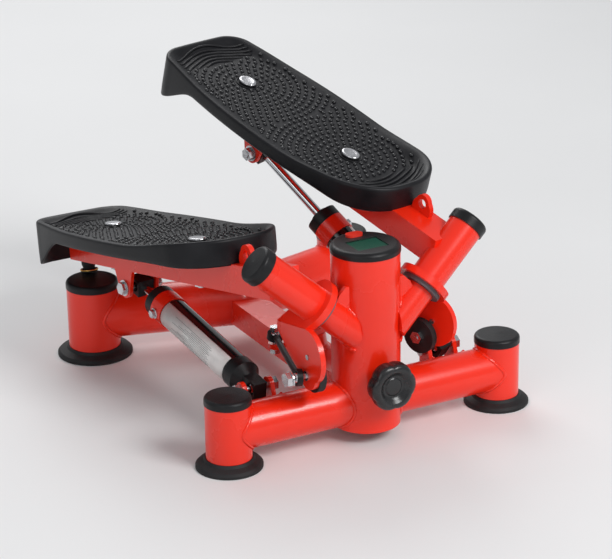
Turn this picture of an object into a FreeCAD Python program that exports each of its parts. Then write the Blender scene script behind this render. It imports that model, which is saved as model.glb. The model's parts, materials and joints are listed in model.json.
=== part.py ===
import FreeCAD, Part
import math
import os
from FreeCAD import Matrix, Placement, Rotation, Vector

# Swing stepper. Millimetres, +Z up, +X to the right, +Y from the post towards the heels.
# The origin is on the floor, under the axis of the centre post.
# At rest the left tread is at the bottom of its stroke and the right tread at the top.

doc = FreeCAD.newDocument("stepper")
sheet = doc.addObject("Spreadsheet::Sheet", "sizes")

DIMENSIONS = {
    # base frame
    "track": 340.0, "wheelbase": 363.0, "front_tube": 50.8, "rear_tube": 60.0, "tube_wall": 2.5,
    "front_axis_z": 42.5, "rear_axis_z": 49.0, "rear_apex_y": 315.0,
    "front_post_od": 50.8, "rear_post_od": 62.0, "front_post_top": 74.0, "rear_post_top": 85.0,
    "foot_height": 11.5, "front_foot_od": 74.0, "rear_foot_od": 90.0, "cap_height": 9.0,
    "beam_width": 40.0, "beam_height": 30.0, "beam_bottom": 30.0,
    "post_od": 76.2, "post_wall": 3.0, "post_bottom": 15.5, "post_top": 216.5,
    # inclined pivots
    "pivot_x": 70.3, "pivot_y": -10.4, "pivot_z": 171.9, "pivot_rise": 40.4, "pivot_heading": 9.8,
    "step_angle": 34.5, "sleeve_od": 40.0, "sleeve_id": 34.0, "sleeve_length": 73.0,
    "axle_od": 20.0, "running_gap": 0.05, "lever_ring_od": 60.0, "lever_thick": 8.0,
    "washer_thick": 4.7, "boss_od": 35.0, "thrust_od": 48.0, "boss_top": -13.0,
    # treads and arms, placed from the middle of the two tread bolts
    "tread_x": 135.6, "tread_y": 252.2, "tread_z": 182.1, "toe_in": 8.3, "tread_pitch": 10.4,
    "tread_roll": 2.9, "tread_half": 187.0, "tread_width": 156.0, "tread_skin": 4.0,
    "tread_bolt_pitch": 181.7, "arm_width": 40.0, "arm_top": -14.0, "arm_bottom": -46.0,
    "arm_wall": 2.5, "arm_heel": -166.0, "arm_toe": 256.0,
    # dampers
    "lug_x": 116.5, "lug_y": 40.0, "lug_z": 65.0, "ear_u": -45.0, "ear_drop": -67.0,
    "damper_od": 36.0, "damper_bore": 30.0, "damper_length": 196.0, "rod_od": 11.0,
    "block": 20.0, "bolt_od": 8.0, "lug_ball_od": 16.0, "lug_gap": 4.0, "lug_bore": 14.0,
    "ear_gap": 5.6, "ear_thick": 4.0, "ear_bore": 12.8, "ear_offset": 3.6,
    # levers, rocker and tie rods
    "lobe_x": 86.5, "lobe_thick": 6.0, "pin_y": -29.0, "pin_z": 99.0, "ball_out": 13.5, "tie_slope_x": 0.0299, "tie_slope_y": -0.2624, "tie_swing": 46.11,
    "eye_shift_x": 1.11, "eye_shift_y": 0.30, "pin_od": 6.0,
    "ball_od": 12.0, "socket_slack": 1.6, "lobe_disc_od": 40.0,
    "rocker_y": 120.3, "rocker_z": 94.0, "rocker_reach": 66.2, "rocker_angle": 20.5,
    "rocker_thick": 6.0, "rocker_drop": 14.0, "tie_od": 7.0,
    # knob and console
    "knob_z": 78.0, "knob_od": 54.0, "console_height": 8.5, "console_od": 77.4,
}
for row, (alias, value) in enumerate(DIMENSIONS.items(), start=1):
    sheet.set(f"A{row}", alias)
    sheet.set(f"B{row}", str(value))
    sheet.setAlias(f"B{row}", alias)
doc.recompute()

LEFT = -1
RIGHT = 1
Z = Vector(0, 0, 1)
nodes = []


def size(alias):
    return float(getattr(sheet, alias))


def bind(obj, **expressions):
    for prop, text in expressions.items():
        obj.setExpression(prop, text)
    return obj


def keep(obj, label):
    """Name a finished sub-part and list it for export."""
    obj.Label = label
    nodes.append(obj)
    return obj


def new_name(stem):
    return f"{stem}_{len(doc.Objects)}"


def cylinder(radius, height, place=Placement()):
    obj = doc.addObject("Part::Cylinder", new_name("cylinder"))
    bind(obj, Radius=radius, Height=height)
    obj.Placement = place
    return obj


def box(length, width, height, place=Placement()):
    obj = doc.addObject("Part::Box", new_name("box"))
    bind(obj, Length=length, Width=width, Height=height)
    obj.Placement = place
    return obj


def sphere(radius, place=Placement()):
    obj = doc.addObject("Part::Sphere", new_name("sphere"))
    bind(obj, Radius=radius)
    obj.Placement = place
    return obj


def prism(sides, circumradius, height, place=Placement()):
    obj = doc.addObject("Part::Prism", new_name("prism"))
    obj.Polygon = sides
    bind(obj, Circumradius=circumradius, Height=height)
    obj.Placement = place
    return obj


def fuse(*parts):
    obj = doc.addObject("Part::MultiFuse", new_name("fuse"))
    obj.Shapes = list(parts)
    return obj


def cut(base, *tools):
    obj = doc.addObject("Part::Cut", new_name("cut"))
    obj.Base = base
    obj.Tool = tools[0] if len(tools) == 1 else fuse(*tools)
    return obj


def group(*parts):
    """Separate solids that share one node."""
    obj = doc.addObject("Part::Compound", new_name("group"))
    obj.Links = list(parts)
    return obj


def outline_sketch(holder, points):
    """A closed sketch: each item is an end point, or (way point, end point) for an arc."""
    sketch = holder
    start = points[0]
    for item in points[1:] + [points[0]]:
        is_arc = isinstance(item[0], (tuple, list))
        end = item[1] if is_arc else item
        a = Vector(start[0], start[1], 0)
        b = Vector(end[0], end[1], 0)
        if is_arc:
            sketch.addGeometry(Part.Arc(a, Vector(item[0][0], item[0][1], 0), b), False)
        else:
            sketch.addGeometry(Part.LineSegment(a, b), False)
        start = end
    return sketch


def origin_plane(body, role):
    return next(f for f in body.Origin.OriginFeatures if f.Role == role)


def body_with_sketch(points, plane):
    body = doc.addObject("PartDesign::Body", new_name("body"))
    sketch = body.newObject("Sketcher::SketchObject", new_name("outline"))
    sketch.AttachmentSupport = [(origin_plane(body, plane), "")]
    sketch.MapMode = "FlatFace"
    outline_sketch(sketch, points)
    return body, sketch


def plate(points, thick, plane="XY_Plane", midplane=False):
    """A flat plate cut to an outline."""
    body, sketch = body_with_sketch(points, plane)
    pad = body.newObject("PartDesign::Pad", new_name("pad"))
    pad.Profile = sketch
    pad.Midplane = midplane
    bind(pad, Length=thick)
    return body


def turned(points):
    """A piece turned about Z from a profile of (radius, height) points."""
    body, sketch = body_with_sketch(points, "XZ_Plane")
    turn = body.newObject("PartDesign::Revolution", new_name("turn"))
    turn.Profile = sketch
    turn.ReferenceAxis = (sketch, ["V_Axis"])
    turn.Angle = 360.0
    return body


def at(x, y, z):
    return Placement(Vector(x, y, z), Rotation())


def frame_placement(origin, x_axis, z_axis):
    """A placement whose X and Z axes point as given."""
    z = Vector(z_axis).normalize()
    y = z.cross(x_axis).normalize()
    x = y.cross(z)
    m = Matrix(x.x, y.x, z.x, origin.x, x.y, y.y, z.y, origin.y, x.z, y.z, z.z, origin.z, 0, 0, 0, 1)
    return Placement(m)


def along(origin, axis):
    """A placement with its Z axis along a direction."""
    side = Vector(0, 1, 0) if abs(Vector(axis).normalize().y) < 0.9 else Vector(1, 0, 0)
    return frame_placement(origin, side, axis)


def mirrored(v):
    return Vector(-v.x, v.y, v.z)


# ---- places and directions shared by the pieces and by the joints ----

rise = math.radians(size("pivot_rise"))
heading = math.radians(size("pivot_heading"))
PIVOT_L = Vector(-size("pivot_x"), size("pivot_y"), size("pivot_z"))
AXIS_L = Vector(-math.cos(rise) * math.cos(heading), math.cos(rise) * math.sin(heading), math.sin(rise))
PIVOT_R = mirrored(PIVOT_L)
AXIS_R = mirrored(AXIS_L)

toe_in = math.radians(size("toe_in"))
pitch = math.radians(size("tread_pitch"))
roll = math.radians(size("tread_roll"))
TREAD_L = Vector(-size("tread_x"), size("tread_y"), size("tread_z"))
TOE = Vector(math.sin(toe_in) * math.cos(pitch), -math.cos(toe_in) * math.cos(pitch), math.sin(pitch))
level_up = (Z - TOE * TOE.dot(Z)).normalize()
UP = level_up * math.cos(roll) + level_up.cross(TOE) * math.sin(roll)
ARM_L = frame_placement(TREAD_L, TOE, UP)

# The right arm is the left arm's mirror image, lifted by the full step.
LIFT_R = Placement(Vector(), Rotation(AXIS_R, size("step_angle")), PIVOT_R)
LIFT_L = Placement(Vector(), Rotation(AXIS_L, -size("step_angle")), PIVOT_L)


def on_arm(u, v, w):
    """A point given from the left tread's middle: toe-wards, inwards and up."""
    return ARM_L.multVec(Vector(u, v, w))


half_step = size("step_angle") / 2
EAR_AXIS_L = ARM_L.Rotation.multVec(Vector(0, 1, 0))
EAR_L = on_arm(size("ear_u"), 0, size("ear_drop"))
TIP_L = EAR_L + EAR_AXIS_L * size("ear_offset")
TIP_L_UP = LIFT_L.multVec(TIP_L)
LUG_L = Vector(-size("lug_x"), size("lug_y"), size("lug_z"))
LUG_R = mirrored(LUG_L)
SHORT = TIP_L.distanceToPoint(LUG_L)
LONG = TIP_L_UP.distanceToPoint(LUG_L)
TILT_AXIS_L = (TIP_L - LUG_L).cross(TIP_L_UP - LUG_L).normalize()
TILT = math.degrees((TIP_L - LUG_L).getAngle(TIP_L_UP - LUG_L))
TILT_R = Placement(Vector(), Rotation(mirrored(TILT_AXIS_L), -TILT), LUG_R)

DOWN_L = (AXIS_L * AXIS_L.z - Z).normalize()
PIN_L = Vector(-size("lobe_x") - size("ball_out"), size("pin_y"), size("pin_z"))
PIN_L_UP = LIFT_L.multVec(PIN_L)
swing = math.radians(size("rocker_angle"))
ROCKER = Vector(0, size("rocker_y"), size("rocker_z"))
BALL_L = ROCKER + Vector(-math.cos(swing), -math.sin(swing), 0) * size("rocker_reach")
BALL_L_UP = ROCKER + Vector(-math.cos(swing), math.sin(swing), 0) * size("rocker_reach")
BALL_R = mirrored(BALL_L_UP)
# the tie rod's hinge and eye are placed so that the eye stays nearest the lever's ball over the whole stroke
TIE_AXIS_L = Vector(size("tie_slope_x"), size("tie_slope_y"), 1).normalize()
TIE_SWING = size("tie_swing")
EYE_L = PIN_L + Vector(size("eye_shift_x"), size("eye_shift_y"), 0)
tie_turn_r = Rotation(Z, 2 * size("rocker_angle")) * Rotation(mirrored(TIE_AXIS_L), -TIE_SWING)
TIE_R = Placement(BALL_R - tie_turn_r.multVec(mirrored(BALL_L)), tie_turn_r)


def mirror_right(source, label, moved=LIFT_R):
    """The right-hand twin of a left-hand piece, moved to the other end of its travel."""
    obj = doc.addObject("Part::Mirroring", new_name("mirror"))
    obj.Source = source
    obj.Normal = Vector(1, 0, 0)
    obj.Base = Vector(0, 0, 0)
    doc.recompute()
    obj.Placement = moved
    return keep(obj, label)


# ---- base frame ----

def foot_place(front, side):
    return at(side * size("track") / 2, 0 if front else size("wheelbase"), 0)


def foot_post(kind, side):
    front = kind == "front"
    place = foot_place(front, side)
    place.Base.z = size("foot_height")
    outer = cylinder(f"sizes.{kind}_post_od / 2", f"sizes.{kind}_post_top - sizes.foot_height", place)
    inner = cylinder(f"sizes.{kind}_post_od / 2 - sizes.tube_wall", f"sizes.{kind}_post_top", place)
    return cut(outer, inner)


def foot_cap(kind, side):
    """A domed plastic cap with a spigot inside the foot post."""
    r = size(f"{kind}_post_od") / 2
    inner = r - size("tube_wall")
    tall = size("cap_height")
    rim = r + 0.6
    cap = turned([(0, -8), (inner, -8), (inner, 0), (rim, 0), (rim, tall - 4),
                  ((rim - 1.2, tall - 1.2), (rim - 4, tall)), (0, tall + 1.2)])
    cap.Placement = foot_place(kind == "front", side)
    cap.Placement.Base.z = size(f"{kind}_post_top")
    return cap


def rubber_foot(kind, side):
    """A wide rubber pad, dished up to the foot post, with a spigot inside the tube."""
    pad_r = size(f"{kind}_foot_od") / 2
    r = size(f"{kind}_post_od") / 2
    inner = r - size("tube_wall")
    tall = size("foot_height")
    pad = turned([(0, 0), (pad_r, 0), (pad_r, 3), (pad_r - 2.5, 5.5), (r + 3, 8.5), (r + 1, tall),
                  (inner, tall), (inner, tall + 8), (0, tall + 8)])
    pad.Placement = foot_place(kind == "front", side)
    return pad


foot_posts = []
for kind in ("front", "rear"):
    posts = [foot_post(kind, side) for side in (LEFT, RIGHT)]
    foot_posts.extend(posts)
keep(group(*foot_posts), "foot_posts")
FOOT_KINDS = [(kind, side) for kind in ("front", "rear") for side in (LEFT, RIGHT)]
keep(group(*[foot_cap(kind, side) for kind, side in FOOT_KINDS]), "foot_post_caps")
keep(group(*[rubber_foot(kind, side) for kind, side in FOOT_KINDS]), "rubber_feet")

POST_BASE = at(0, 0, size("post_bottom"))
post_outer = cylinder("sizes.post_od / 2", "sizes.post_top - sizes.post_bottom", POST_BASE)
post_inner = cylinder("sizes.post_od / 2 - sizes.post_wall", "sizes.post_top", POST_BASE)
knob_place = along(Vector(0, 0, size("knob_z")), Vector(0, -1, 0))
screw_hole = cylinder("5.3", "60", knob_place)
post_tube = cut(post_outer, post_inner, screw_hole)

across = Rotation(Vector(0, 1, 0), 90)
POST_CUTTER = "sizes.post_od / 2"
front_halves = []
for side in (LEFT, RIGHT):
    start = Vector(min(0, side * size("track") / 2), 0, size("front_axis_z"))
    outer = cylinder("sizes.front_tube / 2", "sizes.track / 2", Placement(start, across))
    inner = cylinder("sizes.front_tube / 2 - sizes.tube_wall", "sizes.track / 2", Placement(start, across))
    post_cutter = cylinder(POST_CUTTER, "300")
    foot_cutter = cylinder("sizes.front_post_od / 2", "300", foot_place(True, side))
    front_halves.append(cut(outer, inner, post_cutter, foot_cutter))
keep(group(*front_halves), "front_crossbars")


def bent_bar(radius):
    """The rear bar: two straight legs that meet at the middle, further forward than the feet."""
    apex = Vector(0, size("rear_apex_y"), size("rear_axis_z"))
    legs = []
    for side in (LEFT, RIGHT):
        foot = Vector(side * size("track") / 2, size("wheelbase"), size("rear_axis_z"))
        legs.append(cylinder(radius, f"{foot.distanceToPoint(apex)}", along(apex, foot - apex)))
    return fuse(*legs, sphere(radius, Placement(apex, Rotation())))


rear_outer = bent_bar("sizes.rear_tube / 2")
rear_inner = bent_bar("sizes.rear_tube / 2 - sizes.tube_wall")
rear_cutters = [cylinder("sizes.rear_post_od / 2", "300", foot_place(False, side)) for side in (LEFT, RIGHT)]
keep(cut(rear_outer, rear_inner, *rear_cutters), "rear_crossbar")

BEAM_START = 20.0
beam_at = at(-size("beam_width") / 2, BEAM_START, size("beam_bottom"))
wall = size("tube_wall")
beam_hole_at = at(-size("beam_width") / 2 + wall, BEAM_START, size("beam_bottom") + wall)
BEAM_LENGTH = f"sizes.rear_apex_y - {BEAM_START}"
beam = box("sizes.beam_width", BEAM_LENGTH, "sizes.beam_height", beam_at)
beam_hole = box("sizes.beam_width - 2 * sizes.tube_wall", BEAM_LENGTH,
                "sizes.beam_height - 2 * sizes.tube_wall", beam_hole_at)
beam_post_cutter = cylinder(POST_CUTTER, "300")
beam_rear_cutter = bent_bar("sizes.rear_tube / 2")
keep(cut(beam, beam_hole, beam_post_cutter, beam_rear_cutter), "centre_beam")


# ---- inclined pivots: fixed boss and axle, turning sleeve ----

def on_axis(t):
    return PIVOT_L + AXIS_L * t


BOSS_REACH = 52.0
boss_top = size("boss_top")
boss = cylinder("sizes.boss_od / 2", f"{BOSS_REACH}", along(on_axis(boss_top), AXIS_L * -1))
BOSS_END_X = 25.0
boss_bore = cylinder("sizes.axle_od / 2", "200", along(on_axis(60), AXIS_L * -1))
boss_trim = box(f"{BOSS_END_X}", "120", "200", at(-BOSS_END_X, -60, 60))
boss_cut = cut(boss, boss_bore, cylinder(POST_CUTTER, "300"), boss_trim)
GUSSET_THICK = 5.0
gusset = plate([(-26, 148), (-54, 158), (-44, 179), (-36, 187), (-26, 187)], f"{GUSSET_THICK}", "XZ_Plane", True)
gusset.Placement = at(0, size("pivot_y") - 8, 0)
boss_solid = cylinder("sizes.boss_od / 2 + 0.01", "200", along(on_axis(60), AXIS_L * -1))
flange_solid = cylinder("sizes.lever_ring_od / 2 + 6", "40", along(on_axis(boss_top - 1), AXIS_L))
gusset_cut = cut(gusset, boss_solid, flange_solid, cylinder(POST_CUTTER, "300"))
boss_right = doc.addObject("Part::Mirroring", new_name("mirror"))
boss_right.Source = boss_cut
boss_right.Normal = Vector(1, 0, 0)
gusset_right = doc.addObject("Part::Mirroring", new_name("mirror"))
gusset_right.Source = gusset_cut
gusset_right.Normal = Vector(1, 0, 0)
keep(group(boss_cut, boss_right, gusset_cut, gusset_right), "pivot_bosses")

AXLE_LOW = -40.0
AXLE_HIGH = 67.0
NUT_LOW = 59.0
axles = []
nuts = []
for pivot, axis in ((PIVOT_L, AXIS_L), (PIVOT_R, AXIS_R)):
    axle = cylinder("sizes.axle_od / 2", f"{AXLE_HIGH - AXLE_LOW}", along(pivot + axis * AXLE_LOW, axis))
    trimmed = cut(axle, cylinder("sizes.post_od / 2 - sizes.post_wall", "300"))
    axles.append(cut(trimmed, cylinder(POST_CUTTER, "300")))
    nut = prism(6, "16", "7", along(pivot + axis * NUT_LOW, axis))
    nuts.append(cut(nut, cylinder("sizes.axle_od / 2", "200", along(pivot, axis))))
keep(group(*axles, *nuts), "pivot_axles")

sleeve = cut(cylinder("sizes.sleeve_od / 2", "sizes.sleeve_length", along(PIVOT_L, AXIS_L)),
             cylinder("sizes.sleeve_id / 2", "sizes.sleeve_length", along(PIVOT_L, AXIS_L)))
keep(sleeve, "pivot_sleeve_left")
mirror_right(sleeve, "pivot_sleeve_right")

LEVER_T = size("lever_thick")
bush_bore = "sizes.axle_od / 2 + sizes.running_gap"
lower_bush = fuse(cylinder("sizes.sleeve_id / 2", f"{LEVER_T + 12}", along(on_axis(-LEVER_T), AXIS_L)),
                  cylinder("sizes.thrust_od / 2", "sizes.washer_thick",
                           along(on_axis(-LEVER_T - size("washer_thick")), AXIS_L)))
upper_bush = cylinder("sizes.sleeve_id / 2", "16", along(on_axis(42), AXIS_L))
bore = cylinder(bush_bore, "200", along(on_axis(-60), AXIS_L))
bore_two = cylinder(bush_bore, "200", along(on_axis(-60), AXIS_L))
bushes = group(cut(lower_bush, bore), cut(upper_bush, bore_two))
keep(bushes, "sleeve_bushes_left")
mirror_right(bushes, "sleeve_bushes_right")

CAP_R = size("sleeve_od") / 2 + 1.5
SPIGOT_R = size("sleeve_id") / 2
sleeve_cap = turned([(0, 5), (SPIGOT_R - 3, 5), (SPIGOT_R - 3, -4), (SPIGOT_R, -4), (SPIGOT_R, 0),
                     (CAP_R, 0), (CAP_R, 9), ((CAP_R - 1.2, 11.8), (CAP_R - 4, 13)), (0, 14)])
sleeve_cap.Placement = along(on_axis(size("sleeve_length")), AXIS_L)
keep(sleeve_cap, "sleeve_cap_left")
mirror_right(sleeve_cap, "sleeve_cap_right")

# ---- lever plate: a ring round the sleeve's foot, bent down to a lobe beside the post ----

lobe_thick = size("lobe_thick")
bend_x = -size("lobe_x")
# the lobe hangs from the bend; each item is (y, z)
lobe = plate([(-27, 152), ((-52, 145), (-62, 127)), ((-60, 110), (-48, 97)), ((-34, 84), (-18, 88)), (-14, 99),
              (-4, 106), (22, 119), (38, 131), (37, 139)], "sizes.lobe_thick", "YZ_Plane")
lobe.Placement = at(bend_x - lobe_thick / 2, 0, 0)
ring = cylinder("sizes.lever_ring_od / 2", "sizes.lever_thick", along(on_axis(-LEVER_T), AXIS_L))
# the flange widens from the ring to the bend; X runs down the slope, Y forwards
flange = plate([(12, 27), (25, 21), (42, -44), (4, -29)], "sizes.lever_thick")
flange.Placement = frame_placement(on_axis(-LEVER_T), DOWN_L, AXIS_L)
ring_hole = cylinder("sizes.sleeve_id / 2", "60", along(on_axis(-30), AXIS_L))
pin_hole = cylinder("sizes.pin_od / 2", "60", Placement(PIN_L - Vector(20, 0, 0), across))
RIVET = Vector(bend_x, -33, 122)
rivet_hole = cylinder("3", "60", Placement(RIVET - Vector(30, 0, 0), across))
lever = cut(fuse(lobe, flange, ring), ring_hole, pin_hole, rivet_hole)
keep(lever, "lever_plate_left")
mirror_right(lever, "lever_plate_right")


def on_pin(inward):
    """A place on the lever bolt, measured inwards from the ball."""
    return Placement(PIN_L + Vector(inward, 0, 0), across)


LOBE_OUT = size("ball_out") - lobe_thick / 2
LOBE_IN = size("ball_out") + lobe_thick / 2
NUT_AT = -15.5
lever_bolt = fuse(cylinder("sizes.pin_od / 2", f"{LOBE_IN + 14 - NUT_AT}", on_pin(NUT_AT)),
                  cylinder("5.5", "1.2", on_pin(LOBE_OUT - 1.2)),
                  prism(6, "7.5", "5", on_pin(LOBE_IN + 8)),
                  sphere("sizes.ball_od / 2", on_pin(0)),
                  cylinder("9", "1.6", on_pin(NUT_AT + 6)),
                  prism(6, "8.5", "6", on_pin(NUT_AT)))
lobe_disc = cut(cylinder("sizes.lobe_disc_od / 2", "8", on_pin(LOBE_IN)), cylinder("sizes.pin_od / 2", "40", on_pin(0)))
keep(lobe_disc, "lever_disc_left")
mirror_right(lobe_disc, "lever_disc_right")
rivet = cylinder("3", f"{lobe_thick + 3}", Placement(RIVET - Vector(lobe_thick / 2 + 1.5, 0, 0), across))
lever_fixings = group(lever_bolt, rivet)
keep(lever_fixings, "lever_bolt_left")
mirror_right(lever_fixings, "lever_bolt_right")

# ---- tread arm ----

ARM_LENGTH = "sizes.arm_toe - sizes.arm_heel"
half_arm = size("arm_width") / 2


def arm_place(u, v, w):
    return Placement(on_arm(u, v, w), ARM_L.Rotation)


arm_outer = box(ARM_LENGTH, "sizes.arm_width", "sizes.arm_top - sizes.arm_bottom",
                arm_place(size("arm_heel"), -half_arm, size("arm_bottom")))
arm_wall = size("arm_wall")
arm_inner = box(ARM_LENGTH + " - 20", "sizes.arm_width - 2 * sizes.arm_wall",
                "sizes.arm_top - sizes.arm_bottom - 2 * sizes.arm_wall",
                arm_place(size("arm_heel") - 10, arm_wall - half_arm, size("arm_bottom") + arm_wall))
sleeve_room = cylinder("sizes.sleeve_od / 2", "200", along(on_axis(-60), AXIS_L))
BOLT_U = [-size("tread_bolt_pitch") / 2, size("tread_bolt_pitch") / 2]
arm_holes = [cylinder("sizes.bolt_od / 2", "80", arm_place(u, 0, -60)) for u in BOLT_U]
pedal_arm = cut(arm_outer, arm_inner, sleeve_room, *arm_holes)
keep(pedal_arm, "pedal_arm_left")
mirror_right(pedal_arm, "pedal_arm_right")

EAR_HALF = size("block") / 2 + size("ear_gap")
ear_drop = size("ear_drop")
ear_top = size("arm_bottom")
ears = []
for v in (-EAR_HALF - size("ear_thick"), EAR_HALF):
    ear = plate([(-19, ear_top), (-12, ear_drop), ((0, ear_drop - 12), (12, ear_drop)), (19, ear_top)],
                "sizes.ear_thick", "XZ_Plane")
    ear.Placement = arm_place(size("ear_u"), v + size("ear_thick"), 0)
    ears.append(ear)
ear_bore = cylinder("sizes.bolt_od / 2", "60", along(EAR_L - EAR_AXIS_L * 30, EAR_AXIS_L))
ear_bore_two = cylinder("sizes.bolt_od / 2", "60", along(EAR_L - EAR_AXIS_L * 30, EAR_AXIS_L))
ear_bracket = group(cut(ears[0], ear_bore), cut(ears[1], ear_bore_two))
keep(ear_bracket, "ear_bracket_left")
mirror_right(ear_bracket, "ear_bracket_right")

BAND_EYE_U = 204.0
EYE_R = 5.5
eye = plate([(-13, 0), ((-13.5, 7), (-9, 15)), ((0, 22), (9, 15)), ((13.5, 7), (13, 0))], "6", "XZ_Plane")
eye.Placement = arm_place(BAND_EYE_U, -6, size("arm_top"))
EYE_CENTRE = on_arm(BAND_EYE_U, -9, size("arm_top") + 11)
band_loop = cut(eye, cylinder(f"{EYE_R}", "40", along(EYE_CENTRE - EAR_AXIS_L * 20, EAR_AXIS_L)))
keep(band_loop, "band_loop_left")
mirror_right(band_loop, "band_loop_right")

BUMPER_U = -148.0
bumper = turned([(0, 0), (10, 0), (10, 3), (7, 4.5), (8.5, 9), (8.5, 15), (0, 15)])
bumper.Placement = arm_place(BUMPER_U, -6, size("arm_bottom") - 15)
keep(bumper, "stop_bumper_left")
mirror_right(bumper, "stop_bumper_right")

# ---- tread ----

half = size("tread_half")
wide = size("tread_width") / 2


def tread_outline(inset):
    heel = -half + inset
    toe = half - inset
    side = wide - inset
    return [(heel, 36 - inset), ((heel + 8, 53 - inset), (heel + 28, 62 - inset)),
            ((0, side), (132, 70 - inset)), ((171 - inset, 50 - inset), (toe, 18)), (toe, -18),
            ((171 - inset, inset - 50), (132, inset - 70)),
            ((0, -side), (heel + 28, inset - 62)), ((heel + 8, inset - 53), (heel, inset - 36))]


SKIRT = 55.0
shell = plate(tread_outline(0), f"{SKIRT}")
shell.Placement = at(0, 0, -SKIRT)
hollow = plate(tread_outline(3.5), f"{SKIRT}")
hollow.Placement = at(0, 0, -SKIRT - size("tread_skin"))
# side view of the skirt: deep at the heel, shallow along the sides, deeper again at the toe
skirt_cut = plate([(-half - 5, -51), (-half + 20, -44), ((-half + 48, -18), (-half + 80, -11)), (40, -11),
                   (half - 40, -19), (half + 5, -20), (half + 5, -90), (-half - 5, -90)],
                  "300", "XZ_Plane", True)
rib_at = size("arm_top")
ribs = [box("300", "3", "10", at(-150, v, rib_at)) for v in (-19, 16)]
ribs += [box("3", "110", "7", at(u, -55, -11)) for u in (-120, -60, 0, 60, 120)]
bolt_holes = [cylinder("sizes.bolt_od / 2", "80", at(u, 0, -60)) for u in BOLT_U]
bolt_holes += [cylinder("8", "5", at(u, 0, -1)) for u in BOLT_U]
tread_body = fuse(cut(shell, hollow, skirt_cut), *ribs)
arm_room = box("200", "sizes.arm_width", "60", at(100, -half_arm, size("arm_top") - 60))
tread = cut(tread_body, arm_room, *bolt_holes)
tread.Placement = ARM_L
keep(tread, "tread_left")
mirror_right(tread, "tread_right")

fixings = []
for u in BOLT_U:
    shank = cylinder("sizes.bolt_od / 2", "54", arm_place(u, 0, -54))
    head = turned([(0, -1), (8, -1), (8, 0), ((6.5, 1.8), (3, 2.8)), (0, 2.8)])
    head.Placement = arm_place(u, 0, 0)
    nut = prism(6, "7.5", "6.5", arm_place(u, 0, size("arm_bottom") - 6.5))
    fixings.append(fuse(shank, head, nut))

EAR_OUT = EAR_HALF + size("ear_thick")
ear_bolt = fuse(cylinder("sizes.bolt_od / 2", f"{2 * EAR_OUT + 13}", along(EAR_L - EAR_AXIS_L * (EAR_OUT + 4), EAR_AXIS_L)),
                cylinder("9.5", "1.6", along(EAR_L - EAR_AXIS_L * (EAR_OUT + 1.6), EAR_AXIS_L)),
                prism(6, "7.5", "5", along(EAR_L - EAR_AXIS_L * (EAR_OUT + 6.6), EAR_AXIS_L)),
                cylinder("9.5", "1.6", along(EAR_L + EAR_AXIS_L * EAR_OUT, EAR_AXIS_L)),
                prism(6, "7.5", "6.5", along(EAR_L + EAR_AXIS_L * (EAR_OUT + 1.6), EAR_AXIS_L)))
arm_bolts = group(*fixings, ear_bolt)
keep(arm_bolts, "arm_bolts_left")
mirror_right(arm_bolts, "arm_bolts_right")

# ---- dampers ----

BLOCK_HALF = size("block") / 2
LUG_IN = BLOCK_HALF + size("lug_gap")
LUG_EAR_T = 5.0


def lug(side):
    """Two upright ears that stand on the front tube, either side of the damper's foot."""
    pair = []
    for offset in (-LUG_IN - LUG_EAR_T, LUG_IN):
        leaf = plate([(-24, -40), (10, -40), (8.5, 0), ((0, 9.5), (-9, 2))], f"{LUG_EAR_T}", "YZ_Plane")
        leaf.Placement = at(side * size("lug_x") + offset, size("lug_y"), size("lug_z"))
        tube = cylinder("sizes.front_tube / 2", "sizes.track",
                        Placement(Vector(-size("track") / 2, 0, size("front_axis_z")), across))
        hole_at = Vector(side * size("lug_x") + offset - 10, size("lug_y"), size("lug_z"))
        pair.append(cut(leaf, tube, cylinder("sizes.bolt_od / 2", "40", Placement(hole_at, across))))
    return pair


def lug_bolt(side):
    """A bolt with a ball in the middle, nutted outside each ear."""
    centre = Vector(side * size("lug_x"), size("lug_y"), size("lug_z"))
    out = LUG_IN + LUG_EAR_T
    left_end = centre - Vector(out, 0, 0)
    right_end = centre + Vector(out, 0, 0)
    return fuse(cylinder("sizes.bolt_od / 2", f"{2 * out + 14}", Placement(left_end - Vector(7, 0, 0), across)),
                prism(6, "8", "6", Placement(left_end - Vector(6, 0, 0), across)),
                prism(6, "8", "6", Placement(right_end, across)),
                sphere("sizes.lug_ball_od / 2", Placement(centre, across)))


lugs = []
for side in (LEFT, RIGHT):
    lugs += lug(side)
keep(group(*lugs), "damper_lugs")
keep(group(lug_bolt(LEFT), lug_bolt(RIGHT)), "lug_bolts")

damper_line = (TIP_L - LUG_L).normalize()
bolt_seen = Rotation(TILT_AXIS_L, -TILT / 2).multVec(Vector(1, 0, 0))
side_x = (bolt_seen - damper_line * bolt_seen.dot(damper_line)).normalize()
DAMPER_L = frame_placement(LUG_L, side_x, damper_line)


def on_damper(t, x=0.0, y=0.0):
    return Placement(DAMPER_L.multVec(Vector(x, y, t)), DAMPER_L.Rotation)


FOOT_LOW = 13.0
FOOT_HIGH = 38.0
SEAT = 26.0
EYE_HALF = 8.0
cap_r = size("damper_od") / 2 + 1
eye_block = box(f"{2 * EYE_HALF}", "sizes.block", f"{BLOCK_HALF + FOOT_LOW}",
                on_damper(-BLOCK_HALF, -EYE_HALF, -BLOCK_HALF))
lower_cap = turned([(0, FOOT_LOW - 2), (8, FOOT_LOW - 2), (11, FOOT_LOW + 1), (cap_r, 23), (cap_r, FOOT_HIGH),
                    (0, FOOT_HIGH)])
lower_cap.Placement = DAMPER_L
tube_room = cylinder("sizes.damper_od / 2", "60", on_damper(SEAT))
lug_socket = sphere("sizes.lug_ball_od / 2 + sizes.running_gap", along(LUG_L, bolt_seen))
lug_room = cylinder("sizes.lug_bore / 2", "60", along(LUG_L - bolt_seen * 30, bolt_seen))
damper_foot = cut(fuse(eye_block, lower_cap), tube_room, lug_socket, lug_room)
keep(damper_foot, "damper_foot_left")
mirror_right(damper_foot, "damper_foot_right", TILT_R)

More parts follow.
